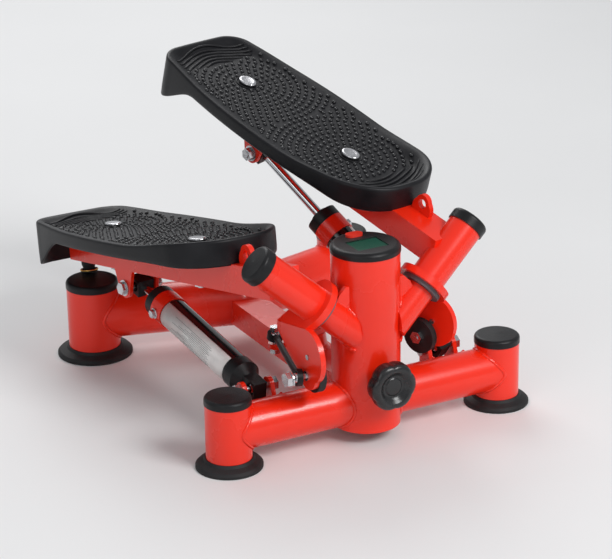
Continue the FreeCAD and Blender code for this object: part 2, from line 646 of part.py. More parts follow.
barrel = cylinder("sizes.damper_od / 2", f"sizes.damper_length - {SEAT}", on_damper(SEAT))
barrel_bore = cylinder("sizes.damper_bore / 2", "sizes.damper_length", on_damper(SEAT + 4))
damper_tube = cut(barrel, barrel_bore)

TOP = size("damper_length")
gland_solid = fuse(cylinder("sizes.damper_od / 2 + 1.2", "12", on_damper(TOP)),
                   cylinder("sizes.damper_bore / 2", "9", on_damper(TOP - 9)),
                   cylinder("11", "4", on_damper(TOP + 12)))
gland = cut(gland_solid, cylinder("sizes.rod_od / 2 + sizes.running_gap", "60", on_damper(TOP - 20)))
keep(gland, "damper_gland_left")
mirror_right(gland, "damper_gland_right", TILT_R)

sleeve_ring = cut(cylinder("sizes.damper_od / 2 + 1.4", "20", on_damper(TOP - 20.5)),
                  cylinder("sizes.damper_od / 2", "40", on_damper(TOP - 30)))
keep(sleeve_ring, "damper_collar_left")
mirror_right(sleeve_ring, "damper_collar_right", TILT_R)

screw_out = side_x * -1
screw_at = on_damper(TOP - 10.5).Base + screw_out * (size("damper_od") / 2 + 1.4)
bleed_screw = fuse(cylinder("5.5", "1.5", along(screw_at - screw_out * 0.3, screw_out)),
                   prism(6, "4.5", "4", along(screw_at + screw_out * 1.2, screw_out)))
bleed = cut(bleed_screw, cylinder("sizes.damper_od / 2 + 1.4", "40", on_damper(TOP - 30)))
tube_and_screw = group(damper_tube, bleed)
keep(tube_and_screw, "damper_tube_left")
mirror_right(tube_and_screw, "damper_tube_right", TILT_R)

PISTON_LOW = 42.0
slide_r = (mirrored(TIP_L_UP) - LUG_R).normalize() * (LONG - SHORT)
ROD_R = Placement(slide_r, Rotation()) * TILT_R
rod = fuse(cylinder("sizes.rod_od / 2", f"{SHORT - BLOCK_HALF - PISTON_LOW}", on_damper(PISTON_LOW)),
           cylinder("sizes.damper_bore / 2 - sizes.running_gap", "12", on_damper(PISTON_LOW)))
keep(rod, "piston_rod_left")
mirror_right(rod, "piston_rod_right", ROD_R)

mid_ear = Rotation(TILT_AXIS_L, -TILT / 2).multVec(Rotation(AXIS_L, -half_step).multVec(EAR_AXIS_L))
ear_x = (mid_ear - damper_line * mid_ear.dot(damper_line)).normalize()
block_place = frame_placement(TIP_L, ear_x, damper_line)
block_corner = block_place.multVec(Vector(-BLOCK_HALF, -BLOCK_HALF, -BLOCK_HALF))
rod_block = cut(box("sizes.block", "sizes.block", "sizes.block", Placement(block_corner, block_place.Rotation)),
                cylinder("sizes.ear_bore / 2", "60", along(TIP_L - mid_ear * 30, mid_ear)))
keep(rod_block, "rod_block_left")
mirror_right(rod_block, "rod_block_right", ROD_R)

# ---- rocker and tie rods ----

BAR_LOW = size("rocker_z") - size("rocker_drop")
BEAM_TOP = size("beam_bottom") + size("beam_height")
PEDESTAL_TOP = BAR_LOW - 1.5
pedestal = turned([(0, 0), (18, 0), (15, 5), (13, PEDESTAL_TOP - BEAM_TOP), (0, PEDESTAL_TOP - BEAM_TOP)])
pedestal.Placement = at(0, size("rocker_y"), BEAM_TOP)
keep(pedestal, "rocker_pedestal")
BUSH_LOW = BAR_LOW - 1.2
BUSH_TALL = 10.0
pivot_bolt = fuse(cylinder("5", "20", at(0, size("rocker_y"), PEDESTAL_TOP)),
                  prism(6, "9", "6", at(0, size("rocker_y"), BUSH_LOW + BUSH_TALL + 0.4)))
keep(pivot_bolt, "rocker_bolt")

REACH = size("rocker_reach")
rocker_turn = Rotation(Z, size("rocker_angle"))
bar = fuse(plate([(-REACH, -8), (-20, -14), (20, -14), (REACH, -8), (REACH, 8), (20, 14), (-20, 14),
                  (-REACH, 8)], "sizes.rocker_thick"),
           cylinder("8", "sizes.rocker_thick", at(-REACH, 0, 0)),
           cylinder("8", "sizes.rocker_thick", at(REACH, 0, 0)))
bar.Placement = Placement(Vector(0, size("rocker_y"), BAR_LOW), rocker_turn)
bar_bore = cylinder("9", "40", at(0, size("rocker_y"), BAR_LOW - 10))
ball_holes = [cylinder("3", "40", at(b.x, b.y, BAR_LOW - 10)) for b in (BALL_L, BALL_R)]
keep(cut(bar, bar_bore, *ball_holes), "rocker_bar")
bush = cylinder("9", f"{BUSH_TALL}", at(0, size("rocker_y"), BUSH_LOW))
keep(cut(bush, cylinder("5 + sizes.running_gap", "40", at(0, size("rocker_y"), BUSH_LOW - 10))), "rocker_bush")
studs = []
for b in (BALL_L, BALL_R):
    studs.append(fuse(cylinder("3", "32", at(b.x, b.y, BAR_LOW - 7)),
                      prism(6, "6.5", "5", at(b.x, b.y, BAR_LOW - 6)),
                      sphere("sizes.ball_od / 2", Placement(b, Rotation())),
                      prism(6, "6", "5", at(b.x, b.y, b.z + 6.2))))
keep(group(*studs), "rocker_ball_studs")

tie_line = EYE_L - BALL_L
TIE_LENGTH = tie_line.Length
pin_half = Rotation(AXIS_L, -half_step).multVec(Vector(1, 0, 0))
pin_seen = Rotation(TIE_AXIS_L, -TIE_SWING / 2).multVec(Rotation(Z, size("rocker_angle")).multVec(pin_half))
near_eye = cylinder("9", "7", along(BALL_L - TIE_AXIS_L * 3.5, TIE_AXIS_L))
far_eye = cylinder("sizes.ball_od / 2 + sizes.socket_slack + 2", "6", along(EYE_L - pin_seen * 3, pin_seen))
tie_shank = cylinder("sizes.tie_od / 2", f"{TIE_LENGTH}", along(BALL_L, tie_line))
near_socket = sphere("sizes.ball_od / 2 + sizes.running_gap", along(BALL_L, TIE_AXIS_L))
far_socket = sphere("sizes.ball_od / 2 + sizes.socket_slack", along(EYE_L, pin_seen))
tie = cut(fuse(near_eye, far_eye, tie_shank), near_socket, far_socket)
keep(tie, "tie_rod_left")
mirror_right(tie, "tie_rod_right", TIE_R)

# ---- adjuster knob ----

KNOB_Z = size("knob_z")


def forward(distance):
    """A place in front of the post, facing forwards, at the knob's height."""
    return along(Vector(0, -distance, KNOB_Z), Vector(0, -1, 0))


NUT_OUT = 46.0
knob_nut = cut(cylinder("11", "12", forward(NUT_OUT - 12)), cylinder(POST_CUTTER, "300"),
               cylinder("5 + sizes.running_gap", "60", forward(20)))
keep(group(post_tube, knob_nut), "center_post")
KNOB_BACK = 47.0
keep(cylinder("5", "28", forward(28)), "adjuster_screw")
lobes = [cylinder("19", "11", forward(KNOB_BACK))]
for k in range(6):
    turn = math.radians(60 * k + 15)
    lobe_at = forward(KNOB_BACK)
    lobe_at.Base = lobe_at.Base + Vector(math.cos(turn), 0, math.sin(turn)) * 19
    lobes.append(cylinder("8.5", "11", lobe_at))
face = turned([(0, 0), (25, 0), (27, 2), (27, 5), ((26, 7), (24, 8)), (17, 8), (15, 6.5), (0, 6.5)])
face.Placement = forward(KNOB_BACK + 11)
knob = cut(fuse(*lobes, face), cylinder("5", "9", forward(KNOB_BACK)))
keep(knob, "adjuster_knob")

# ---- console in the post's mouth ----

CONSOLE_R = size("console_od") / 2
TALL = size("console_height")
inner_r = size("post_od") / 2 - size("post_wall")
dome = turned([(0, -14), (inner_r, -14), (inner_r, 0), (CONSOLE_R, 0), (CONSOLE_R, 4),
               ((CONSOLE_R - 1.6, TALL - 1.6), (CONSOLE_R - 6, TALL)), (0, TALL)])
dome.Placement = at(0, 0, size("post_top"))
DOME_TOP = size("post_top") + TALL
SCREEN_Y = -4.0


def oval(length, width, height, place):
    r = width / 2
    x = length / 2 - r
    return_parts = [box(f"{2 * x}", f"{width}", f"{height}", Placement(place.Base + Vector(-x, -r, 0), Rotation())),
                    cylinder(f"{r}", f"{height}", Placement(place.Base + Vector(-x, 0, 0), Rotation())),
                    cylinder(f"{r}", f"{height}", Placement(place.Base + Vector(x, 0, 0), Rotation()))]
    return fuse(*return_parts)


BUTTON_Y = 25.0
screen_recess = box("38", "30", "3", at(-19, SCREEN_Y - 15, DOME_TOP - 2.4))
button_well = oval(20.6, 12.6, 9, at(0, BUTTON_Y, DOME_TOP - 6.5))
keep(cut(dome, screen_recess, button_well), "console_housing")
keep(box("37.4", "29.4", "1", at(-18.7, SCREEN_Y - 14.7, DOME_TOP - 2.4)), "console_display")
keep(box("37.4", "29.4", "1.2", at(-18.7, SCREEN_Y - 14.7, DOME_TOP - 1.4)), "console_window")
keep(oval(20, 12, 7, at(0, BUTTON_Y, DOME_TOP - 4.5)), "console_button")

bad = []
doc.recompute()
for obj in doc.Objects:
    if "Invalid" in obj.State or "Error" in obj.State:
        bad.append(obj.Label)
for obj in nodes:
    if obj.Shape.isNull() or not obj.Shape.isValid():
        bad.append(f"{obj.Label} shape")
if bad:
    raise SystemExit(f"not valid: {bad}")
os.makedirs("parts", exist_ok=True)
for obj in nodes:
    obj.Shape.exportStep(f"parts/{obj.Label}.step")
print(len(nodes), "nodes")
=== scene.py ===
"""Looks for the swing stepper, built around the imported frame. Metres, +Z up, origin under the post."""

import json
import math

import bmesh
import bpy
from mathutils import Matrix, Vector


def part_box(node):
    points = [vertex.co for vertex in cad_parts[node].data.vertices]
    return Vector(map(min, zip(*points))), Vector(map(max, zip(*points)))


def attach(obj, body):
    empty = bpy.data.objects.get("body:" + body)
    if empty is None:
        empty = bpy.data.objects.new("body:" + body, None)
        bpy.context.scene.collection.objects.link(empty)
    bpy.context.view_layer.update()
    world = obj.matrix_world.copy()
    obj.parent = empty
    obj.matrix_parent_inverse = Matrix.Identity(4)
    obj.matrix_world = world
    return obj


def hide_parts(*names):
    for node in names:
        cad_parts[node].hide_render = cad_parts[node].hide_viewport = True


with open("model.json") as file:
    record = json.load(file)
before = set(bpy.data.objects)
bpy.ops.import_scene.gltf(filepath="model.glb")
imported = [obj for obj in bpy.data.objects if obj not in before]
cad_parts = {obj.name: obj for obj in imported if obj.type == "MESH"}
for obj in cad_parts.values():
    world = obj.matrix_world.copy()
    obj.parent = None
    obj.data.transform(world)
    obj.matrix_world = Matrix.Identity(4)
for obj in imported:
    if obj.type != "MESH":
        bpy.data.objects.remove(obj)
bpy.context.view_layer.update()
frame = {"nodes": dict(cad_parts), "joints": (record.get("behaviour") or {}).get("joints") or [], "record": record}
NODES = frame["nodes"]
JOINTS = {joint["name"]: joint for joint in frame["joints"]}
SIDES = ("left", "right")


def placement(x, y, z, at):
    """The matrix of a frame with these three axes and this origin."""
    return Matrix(((x.x, y.x, z.x, at.x), (x.y, y.y, z.y, at.y), (x.z, y.z, z.z, at.z), (0, 0, 0, 1)))


# ---- camera ----

# fitted to the machine's frame in the photograph: radians and metres
AZIMUTH, ELEVATION, CAMERA_ROLL = 0.4861, 0.3724, -0.0157
DISTANCE, SLIDE_X, SLIDE_Y = 2.68523, -0.0084388, 0.038904
LOOK_AT = Vector((0, 0.12, 0.1))
SENSOR_MM = 36
FOCAL_MM = 2358.64 / 612 * SENSOR_MM
CLIP_END = 50


def make_camera():
    """The photograph's view: a long lens, from ahead of the left front foot."""
    look = Vector((math.sin(AZIMUTH) * math.cos(ELEVATION), math.cos(AZIMUTH) * math.cos(ELEVATION),
                   -math.sin(ELEVATION)))
    right = Vector((math.cos(AZIMUTH), -math.sin(AZIMUTH), 0))
    up = right.cross(look)
    place = LOOK_AT - look * DISTANCE + right * SLIDE_X + up * SLIDE_Y
    rolled_right = right * math.cos(CAMERA_ROLL) + up * math.sin(CAMERA_ROLL)
    rolled_up = up * math.cos(CAMERA_ROLL) - right * math.sin(CAMERA_ROLL)
    data = bpy.data.cameras.new("camera")
    data.lens = FOCAL_MM
    data.sensor_width = SENSOR_MM
    data.clip_end = CLIP_END
    camera = bpy.data.objects.new("camera", data)
    bpy.context.scene.collection.objects.link(camera)
    camera.matrix_world = placement(rolled_right, rolled_up, -look, place)
    bpy.context.scene.camera = camera


make_camera()

# ---- materials ----

COAT_ROUGHNESS = 0.08
DRIFT_FROM, DRIFT_TO = 0.3, 0.7
LIGHT_LIFT = 0.004
DRIFT_DETAIL, GRAIN_DETAIL = 6, 3
GRAIN_DEPTH = 0.0006
SMOOTHEST = 0.02
WINDOW_ALPHA = 0.22


def finish(name, color, rough, metallic=0.0, coat=0.0, mottle=(60, 0.06), grain=(900, 0.05),
           rough_range=0.06, specular=0.5):
    """A surface with slow colour drift, uneven gloss and a fine grain.

    mottle is the drift's scale and its share of the colour; grain is the bump's scale and strength."""
    mat = bpy.data.materials.new(name)
    mat.use_nodes = True
    nodes, links = mat.node_tree.nodes, mat.node_tree.links
    shader = nodes["Principled BSDF"]
    for socket, value in (("Metallic", metallic), ("Coat Weight", coat),
                          ("Coat Roughness", COAT_ROUGHNESS), ("Specular IOR Level", specular)):
        shader.inputs[socket].default_value = value
    coord = nodes.new("ShaderNodeTexCoord")

    def noise(scale, detail):
        node = nodes.new("ShaderNodeTexNoise")
        node.inputs["Scale"].default_value = scale
        node.inputs["Detail"].default_value = detail
        links.new(coord.outputs["Object"], node.inputs["Vector"])
        return node.outputs["Fac"]

    drift = noise(mottle[0], DRIFT_DETAIL)
    ramp = nodes.new("ShaderNodeValToRGB")
    dark = [c * (1 - mottle[1]) for c in color]
    light = [min(1, c * (1 + mottle[1]) + LIGHT_LIFT) for c in color]
    for stop, at, shade in zip(ramp.color_ramp.elements, (DRIFT_FROM, DRIFT_TO), (dark, light)):
        stop.position = at
        stop.color = (*shade, 1)
    links.new(drift, ramp.inputs["Fac"])
    links.new(ramp.outputs["Color"], shader.inputs["Base Color"])
    gloss = nodes.new("ShaderNodeMapRange")
    gloss.inputs["To Min"].default_value = max(SMOOTHEST, rough - rough_range)
    gloss.inputs["To Max"].default_value = rough + rough_range
    links.new(drift, gloss.inputs["Value"])
    links.new(gloss.outputs["Result"], shader.inputs["Roughness"])
    fine = noise(grain[0], GRAIN_DETAIL)
    bump = nodes.new("ShaderNodeBump")
    bump.inputs["Strength"].default_value = grain[1]
    bump.inputs["Distance"].default_value = GRAIN_DEPTH
    links.new(fine, bump.inputs["Height"])
    links.new(bump.outputs["Normal"], shader.inputs["Normal"])
    return mat


def window_glass():
    mat = finish("window_clear", (0.03, 0.09, 0.06), 0.05, mottle=(40, 0.02), grain=(500, 0.01),
                 rough_range=0.02)
    mat.node_tree.nodes["Principled BSDF"].inputs["Alpha"].default_value = WINDOW_ALPHA
    return mat


LOOKS = {
    "frame_red": finish("red_enamel", (0.88, 0.021, 0.003), 0.28, coat=0.24, specular=0.42,
                        mottle=(9, 0.05), grain=(260, 0.10)),
    "tread_black": finish("tread_plastic", (0.0062, 0.0062, 0.0080), 0.40, mottle=(40, 0.15),
                          grain=(1400, 0.25), specular=0.24),
    "black_plastic": finish("moulded_black", (0.009, 0.009, 0.010), 0.34, mottle=(50, 0.15),
                            grain=(1600, 0.30), specular=0.24),
    "rubber_black": finish("rubber", (0.014, 0.014, 0.015), 0.60, mottle=(70, 0.2), grain=(1100, 0.4),
                           specular=0.3),
    "bolt_steel": finish("zinc_plate", (0.62, 0.62, 0.64), 0.24, metallic=1.0, mottle=(120, 0.12),
                         grain=(700, 0.2)),
    "damper_black": finish("gloss_black", (0.006, 0.006, 0.007), 0.16, coat=0.4, mottle=(30, 0.1),
                           grain=(400, 0.04)),
    "rod_chrome": finish("chrome", (0.72, 0.73, 0.75), 0.10, metallic=1.0, mottle=(60, 0.04),
                         grain=(900, 0.03), rough_range=0.03),
    "bush_plastic": finish("grey_nylon", (0.09, 0.09, 0.10), 0.45, mottle=(60, 0.12), grain=(900, 0.2)),
    "screen_green": finish("lcd", (0.006, 0.115, 0.070), 0.30, mottle=(300, 0.12), grain=(2200, 0.1)),
    "button_red": finish("button_gloss", (0.80, 0.035, 0.018), 0.22, coat=0.4, mottle=(80, 0.06),
                         grain=(900, 0.05)),
    "screen_window": window_glass(),
}
SLOT_OF = {part["node"]: part["material_slot"] for part in frame["record"]["subparts"]}
for name, obj in NODES.items():
    obj.data.materials.clear()
    obj.data.materials.append(LOOKS[SLOT_OF[name]])

STUD_GLOSS = finish("stud_gloss", (0.010, 0.010, 0.012), 0.19, mottle=(60, 0.15), grain=(1400, 0.12))
LABEL = finish("label_silver", (0.80, 0.79, 0.77), 0.32, metallic=0.15, mottle=(90, 0.06),
               grain=(1200, 0.08))
LABEL_LINE = finish("label_rule", (0.20, 0.20, 0.20), 0.5, mottle=(200, 0.1), grain=(1500, 0.05))
BRASS = finish("brass", (0.72, 0.42, 0.12), 0.25, metallic=1.0, mottle=(150, 0.1), grain=(700, 0.1))
KNOB_GLOSS = finish("knob_gloss", (0.012, 0.012, 0.013), 0.26, mottle=(60, 0.15), grain=(1500, 0.12))

# ---- mesh helpers ----


def link_mesh(name, verts, faces, material, smooth=True):
    mesh = bpy.data.meshes.new(name)
    mesh.from_pydata([tuple(v) for v in verts], [], faces)
    mesh.validate()
    work = bmesh.new()
    work.from_mesh(mesh)
    bmesh.ops.recalc_face_normals(work, faces=work.faces)
    work.to_mesh(mesh)
    work.free()
    for face in mesh.polygons:
        face.use_smooth = smooth
    mesh.materials.append(material)
    obj = bpy.data.objects.new(name, mesh)
    bpy.context.scene.collection.objects.link(obj)
    return obj


def add_skin(faces, first, rows, sides, closed=False):
    """Quads between neighbouring rings of points, and from the last ring to the first if closed."""
    for row in range(rows if closed else rows - 1):
        here, there = first + row * sides, first + (row + 1) % rows * sides
        for k in range(sides):
            n = (k + 1) % sides
            faces.append((here + k, here + n, there + n, there + k))


def add_cap(faces, first, sides, flipped=False):
    """One flat face over a ring of points."""
    run = range(first, first + sides)
    faces.append(tuple(reversed(run)) if flipped else tuple(run))


def joint_turn(name, degrees):
    """The turn about a joint's own axis, as a matrix."""
    joint = JOINTS[name]
    place = Matrix.Translation(Vector(joint["pos_m"]))
    return place @ Matrix.Rotation(math.radians(degrees), 4, Vector(joint["axis"])) @ place.inverted()


MIRROR = Matrix.Diagonal((-1, 1, 1, 1))
STEP = JOINTS["step_left"]["range_deg"][1]
# the right arm rests at the other end of its travel: the left arm's mirror image, turned back
RIGHT_ARM = joint_turn("step_right", -STEP) @ MIRROR

# tread frame, as the model places it: X to the toe, Y inwards, Z up
TREAD_AT = Vector((-0.1356, 0.2522, 0.1821))
TOE_IN, PITCH, ROLL = (math.radians(a) for a in (8.3, 10.4, 2.9))


def tread_frame():
    toe = Vector((math.sin(TOE_IN) * math.cos(PITCH), -math.cos(TOE_IN) * math.cos(PITCH), math.sin(PITCH)))
    level = (Vector((0, 0, 1)) - toe * toe.z).normalized()
    up = level * math.cos(ROLL) + level.cross(toe) * math.sin(ROLL)
    return placement(toe, up.cross(toe), up, TREAD_AT)


LEFT_TREAD = tread_frame()


def on_arms(shape, stem, material, replaced=None):
    """A piece given in the tread's frame, and its mirror image on the other arm."""
    verts, faces = shape
    for side in SIDES:
        matrix = LEFT_TREAD if side == "left" else RIGHT_ARM @ LEFT_TREAD
        obj = link_mesh(f"{stem}_{side}", [matrix @ Vector(v) for v in verts], faces, material)
        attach(obj, f"arm_{side}")
        if replaced:
            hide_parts(f"{replaced}_{side}")


# ---- treads ----

HALF, WIDE = 0.187, 0.078
AROUND = 220
ARC_STEPS = 60
BOLT_AT = 0.09085


def arc_through(a, mid, b, count):
    """Points on the circle arc from a to b by way of mid, without the last one."""
    ax, ay, mx, my, bx, by = *a, *mid, *b
    d = 2 * (ax * (my - by) + mx * (by - ay) + bx * (ay - my))
    a2, m2, b2 = ax * ax + ay * ay, mx * mx + my * my, bx * bx + by * by
    cx = (a2 * (my - by) + m2 * (by - ay) + b2 * (ay - my)) / d
    cy = (a2 * (bx - mx) + m2 * (ax - bx) + b2 * (mx - ax)) / d
    r = math.hypot(ax - cx, ay - cy)
    start, way, stop = (math.atan2(y - cy, x - cx) for x, y in (a, mid, b))
    sweep = (stop - start) % math.tau
    if (way - start) % math.tau > sweep:
        sweep -= math.tau
    return [(cx + r * math.cos(start + sweep * k / count), cy + r * math.sin(start + sweep * k / count))
            for k in range(count)]


def tread_edge():
    """The tread's outline, evenly spaced, anticlockwise from the heel."""
    heel, toe, side = -HALF, HALF, WIDE
    runs = [((heel, -0.036), (heel + 0.008, -0.053), (heel + 0.028, -0.062)),
            ((heel + 0.028, -0.062), (0, -side), (0.132, -0.070)),
            ((0.132, -0.070), (0.171, -0.050), (toe, -0.018)),
            ((toe, -0.018), (toe + 0.0008, 0), (toe, 0.018)),
            ((toe, 0.018), (0.171, 0.050), (0.132, 0.070)),
            ((0.132, 0.070), (0, side), (heel + 0.028, 0.062)),
            ((heel + 0.028, 0.062), (heel + 0.008, 0.053), (heel, 0.036)),
            ((heel, 0.036), (heel - 0.0006, 0), (heel, -0.036))]
    points = [p for run in runs for p in arc_through(*run, ARC_STEPS)]
    lengths = [0.0]
    for a, b in zip(points, points[1:] + points[:1]):
        lengths.append(lengths[-1] + math.dist(a, b))
    even, k = [], 0
    for n in range(AROUND):
        want = lengths[-1] * n / AROUND
        while lengths[k + 1] < want:
            k += 1
        t = (want - lengths[k]) / (lengths[k + 1] - lengths[k])
        a, b = points[k], points[(k + 1) % len(points)]
        even.append((a[0] + (b[0] - a[0]) * t, a[1] + (b[1] - a[1]) * t))
    return even


EDGE = tread_edge()


def ease(x, low, high):
    t = min(1.0, max(0.0, (x - low) / (high - low)))
    return t * t * (3 - 2 * t)


# amidships, then what the heel and the toe add to it
SKIRT, HEEL_SKIRT, TOE_SKIRT = 0.012, 0.036, 0.003
LIP, TOE_LIP, HEEL_LIP = 0.0038, 0.0105, 0.003
LIP_GAPS, DISH_GAPS, DISH = (0.004, 0.020), (0.012, 0.05), -0.0012


def skirt_depth(u):
    """How far the side hangs down: deep at the heel, shallow amidships, a little deeper at the toe."""
    return SKIRT + HEEL_SKIRT * (1 - ease(u, -0.187, -0.105)) + TOE_SKIRT * ease(u, 0.09, 0.18)


def rim_height(u):
    """The raised lip, taller round the toe and the heel."""
    return LIP + TOE_LIP * ease(u, 0.05, 0.18) + HEEL_LIP * (1 - ease(u, -0.18, -0.08))


def edge_gap(u, v):
    return min(math.dist((u, v), p) for p in EDGE)


def top_height(u, v, gap):
    """The tread's top: slightly dished in the middle, sweeping up to a rounded lip."""
    return rim_height(u) * (1 - ease(gap, *LIP_GAPS)) + DISH * ease(gap, *DISH_GAPS)


LIP_ROUND = 0.0032
LIP_STEPS, LIP_STEP_DEG = 5, 18
TOP_RINGS = 34
RING_SPREAD, RING_POWER = 0.0012, 1.35
UNDERSIDE = -0.0052
WALL, INNER_SHORT = 0.0040, 0.0006
# the skirt's rounded lower edge: how far inside the outline, how far past the skirt's depth
HEM = ((0.0034, 0.0), (0.0012, 0.0004), (0.0004, -0.0010))
MIDDLE_GAP = 0.07
SMALLEST_RING = 0.02


def shrunk_edge(shrink):
    """The tread's outline, drawn in towards the middle."""
    points = []
    for u, v in EDGE:
        length = math.hypot(u, v)
        k = (length - shrink) / length
        points.append((u * k, v * k))
    return points


def tread_shell():
    """The tread as one closed skin, in rings from the middle of the underside to the middle of the top."""
    rings = []
    inner = shrunk_edge(WALL)
    for step in (0.12, 0.5, 0.85):
        rings.append([(u * step, v * step, UNDERSIDE) for u, v in inner])
    rings.append([(u, v, UNDERSIDE) for u, v in inner])
    rings.append([(u, v, -skirt_depth(u) + INNER_SHORT) for u, v in inner])
    for shrink, drop in HEM:
        rings.append([(u, v, -skirt_depth(u0) - drop) for (u, v), (u0, _) in zip(shrunk_edge(shrink), EDGE)])
    for share in (0.75, 0.5, 0.25, 0.0):
        rings.append([(u, v, -skirt_depth(u) * share + (rim_height(u) - LIP_ROUND) * (1 - share))
                      for u, v in EDGE])
    for k in range(1, LIP_STEPS + 1):
        turn = math.radians(LIP_STEP_DEG * k)
        shrink = LIP_ROUND * (1 - math.cos(turn))
        rings.append([(u, v, rim_height(u0) - LIP_ROUND * (1 - math.sin(turn)))
                      for (u, v), (u0, _) in zip(shrunk_edge(shrink), EDGE)])
    for k in range(1, TOP_RINGS):
        shrink = LIP_ROUND + RING_SPREAD * k ** RING_POWER
        points = []
        for u0, v0 in EDGE:
            scale = max(SMALLEST_RING, 1 - shrink / math.hypot(u0, v0))
            u, v = u0 * scale, v0 * scale
            points.append((u, v, top_height(u, v, edge_gap(u, v))))
        rings.append(points)
    verts = [point for ring in rings for point in ring]
    faces = []
    add_skin(faces, 0, len(rings), AROUND)
    low, high, last = len(verts), len(verts) + 1, len(verts) - AROUND
    verts += [(0, 0, UNDERSIDE), (0, 0, top_height(0, 0, MIDDLE_GAP))]
    for k in range(AROUND):
        n = (k + 1) % AROUND
        faces.append((low, n, k))
        faces.append((high, last + k, last + n))
    return verts, faces


STUD_PITCH, STUD_R, STUD_TALL = 0.0086, 0.0026, 0.0022
STUD_SIDES, STUD_FOOT = 8, -0.0006
STUD_RINGS, STUD_RING_R = 14, 0.0185
STUDS_TO, STUDS_FROM = 0.139, 0.0022
STUD_EDGE_GAP = 0.0105


def add_stud(verts, faces, u, v, base):
    """One low domed stud on the tread."""
    first = len(verts)
    for share, rise in ((1.0, STUD_FOOT), (0.92, STUD_TALL * 0.45), (0.55, STUD_TALL * 0.9)):
        for k in range(STUD_SIDES):
            turn = math.tau * k / STUD_SIDES
            verts.append((u + STUD_R * share * math.cos(turn), v + STUD_R * share * math.sin(turn),
                          base + rise))
    add_skin(faces, first, 3, STUD_SIDES)
    add_cap(faces, first + 2 * STUD_SIDES, STUD_SIDES)
    add_cap(faces, first, STUD_SIDES, flipped=True)


def tread_studs():
    """Studs on rings round each bolt; the two sets meet across the middle."""
    verts, faces = [], []
    for sign in (-1, 1):
        for n in range(STUD_RINGS):
            ring_r = STUD_RING_R + STUD_PITCH * n
            count = round(math.tau * ring_r / STUD_PITCH)
            for k in range(count):
                turn = math.tau * (k + 0.5 * (n % 2)) / count
                u, v = sign * BOLT_AT + ring_r * math.cos(turn), ring_r * math.sin(turn)
                if abs(v) > WIDE or abs(u) > STUDS_TO or u * sign < STUDS_FROM:
                    continue
                gap = edge_gap(u, v)
                if gap > STUD_EDGE_GAP:
                    add_stud(verts, faces, u, v, top_height(u, v, gap))
    return verts, faces


# a rib's section: share of half its width, share of its height
RIB_SECTION = ((-1, -0.3), (-0.8, 0.55), (-0.35, 0.95), (0.35, 0.95), (0.8, 0.55), (1, -0.3))


def add_ridge(verts, faces, points, width, height):
    """A low round-topped rib that follows points on the tread."""
    first, count, sides = len(verts), len(points), len(RIB_SECTION)
    for i, (u, v) in enumerate(points):
        before, after = points[max(0, i - 1)], points[min(count - 1, i + 1)]
        du, dv = after[0] - before[0], after[1] - before[1]
        length = math.hypot(du, dv) or 1
        base = top_height(u, v, edge_gap(u, v))
        taper = 0.35 + 0.65 * ease(min(i, count - 1 - i), 0, 3)
        for across, rise in RIB_SECTION:
            verts.append((u - dv / length * across * width / 2, v + du / length * across * width / 2,
                          base + rise * height * taper))
    add_skin(faces, first, count, sides)
    add_cap(faces, first, sides)
    add_cap(faces, first + (count - 1) * sides, sides, flipped=True)


# end of the tread, centre of the arcs, smallest and largest radius
RIB_FANS = ((1, 0.075, 0.064, 0.104), (-1, -0.080, 0.059, 0.098))
RIB_PITCH, RIB_WIDE, RIB_TALL = 0.0062, 0.0032, 0.0017
RIB_STEPS, RIB_STEP_DEG = 26, 3.0
RIB_WAVE, RIB_WAVES, RIB_WAVE_FROM = 0.0011, 8, 1.2
RIB_EDGE_GAP, RIBS_FROM, RIBS_WIDE, RIB_SHORTEST = 0.0085, 0.1405, 0.07, 5


def tread_ribs():
    """Curved ribs that fan across the toe and the heel."""
    verts, faces = [], []
    for sign, centre, radius, largest in RIB_FANS:
        while radius < largest:
            run = []
            for k in range(-RIB_STEPS, RIB_STEPS + 1):
                turn = math.radians(RIB_STEP_DEG * k)
                wave = radius + RIB_WAVE * math.sin(RIB_WAVES * turn + RIB_WAVE_FROM)
                u, v = centre + sign * wave * math.cos(turn), wave * math.sin(turn)
                if abs(v) < RIBS_WIDE and edge_gap(u, v) > RIB_EDGE_GAP and RIBS_FROM < abs(u) < HALF:
                    run.append((u, v))
            if len(run) > RIB_SHORTEST:
                add_ridge(verts, faces, run, RIB_WIDE, RIB_TALL)
            radius += RIB_PITCH
    return verts, faces


OVAL_SIDES = 40
COLLAR_LONG, COLLAR_WIDE, COLLAR_RIB, COLLAR_TALL = 0.0142, 0.0116, 0.0022, 0.0014
CAP_LONG, CAP_WIDE = 0.0118, 0.0092
# share of the cap's size, height over the tread
CAP_PROFILE = ((1.0, -0.0004), (1.0, 0.0022), (0.93, 0.0031), (0.80, 0.0034), (0.62, 0.0031),
               (0.40, 0.0029))


def bolt_collars():
    """A raised oval ring round each tread bolt."""
    verts, faces = [], []
    for at in (-BOLT_AT, BOLT_AT):
        run = []
        for k in range(OVAL_SIDES + 1):
            turn = math.tau * k / OVAL_SIDES
            run.append((at + COLLAR_LONG * math.cos(turn), COLLAR_WIDE * math.sin(turn)))
        add_ridge(verts, faces, run, COLLAR_RIB, COLLAR_TALL)
    return verts, faces


def bolt_caps():
    """A shallow oval cap over each tread bolt, dished in the middle."""
    verts, faces = [], []
    for at in (-BOLT_AT, BOLT_AT):
        first = len(verts)
        for share, rise in CAP_PROFILE:
            for k in range(OVAL_SIDES):
                turn = math.tau * k / OVAL_SIDES
                verts.append((at + CAP_LONG * share * math.cos(turn), CAP_WIDE * share * math.sin(turn),
                              rise))
        add_skin(faces, first, len(CAP_PROFILE), OVAL_SIDES)
        add_cap(faces, first + (len(CAP_PROFILE) - 1) * OVAL_SIDES, OVAL_SIDES)
        add_cap(faces, first, OVAL_SIDES, flipped=True)
    return verts, faces


